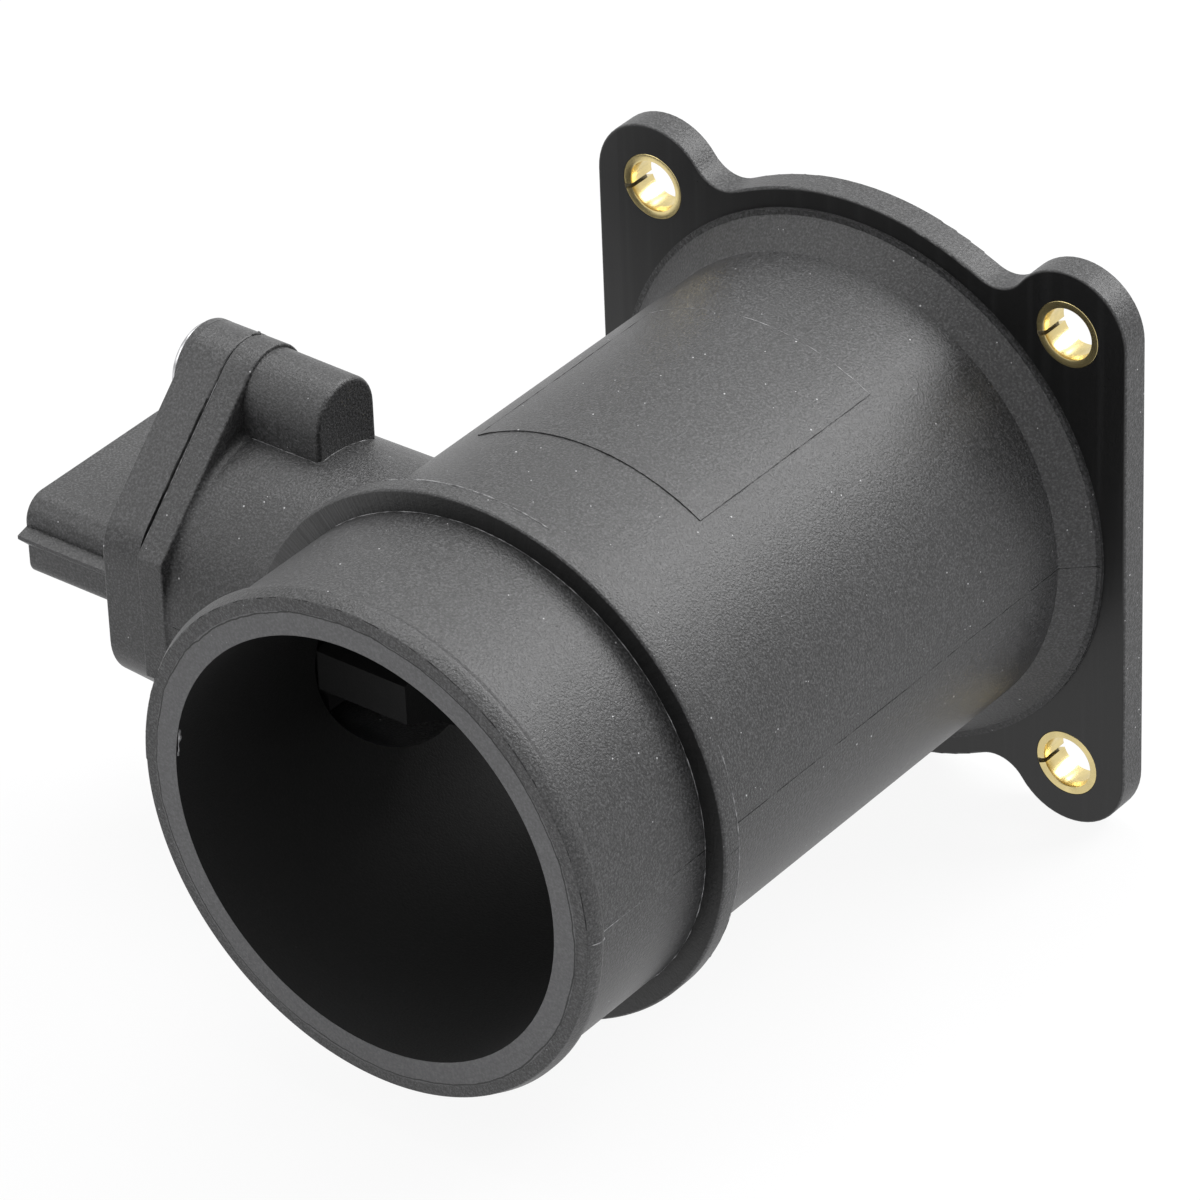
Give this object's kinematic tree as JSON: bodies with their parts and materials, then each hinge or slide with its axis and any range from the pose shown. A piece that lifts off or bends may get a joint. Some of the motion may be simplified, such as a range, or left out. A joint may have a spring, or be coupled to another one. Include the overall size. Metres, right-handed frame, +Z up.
{
  "type": "mass airflow sensor",
  "caption": "Intake air duct with a hose spigot, a square bolting flange and a plug-in hot-wire sensor module on a side neck.",
  "frame": {"origin": "centre of the four-bolt pattern on the sealing face of the flange", "axes": "+Y along the duct out of the sealing face, so the hose end points to -Y; the sensor module and its connector point to -X; +Z up"},
  "size_m": [0.1246, 0.1095, 0.0848],
  "materials": {
    "housing_plastic": "fine matt, glass-filled",
    "module_plastic": "fine matt, glass-filled",
    "lid_plastic": "smooth matt",
    "bush_brass": "machined, bright",
    "screw_steel": "zinc plated",
    "seal_rubber": "smooth",
    "terminal_metal": "tin plated",
    "base_aluminium": "as rolled",
    "board_ceramic": "fired ceramic",
    "pin_steel": "drawn wire",
    "element_glass": "glass coated"
  },
  "bodies": {
    "root": {"base_plate": "base_aluminium", "bypass_cover": "lid_plastic", "circuit_board": "board_ceramic", "circuit_cover": "lid_plastic", "cold_wire_element": "element_glass", "flange_bush_lower_left": "bush_brass", "flange_bush_lower_right": "bush_brass", "flange_bush_upper_left": "bush_brass", "flange_bush_upper_right": "bush_brass", "hot_wire_element": "element_glass", "module_housing": "module_plastic", "module_o_ring": "seal_rubber", "module_screw_lower": "screw_steel", "module_screw_upper": "screw_steel", "sensor_pin_1": "pin_steel", "sensor_pin_2": "pin_steel", "sensor_pin_3": "pin_steel", "sensor_pin_4": "pin_steel", "terminal_1": "terminal_metal", "terminal_2": "terminal_metal", "terminal_3": "terminal_metal", "terminal_4": "terminal_metal", "terminal_5": "terminal_metal", "tube_housing": "housing_plastic"}
  },
  "joints": []
}
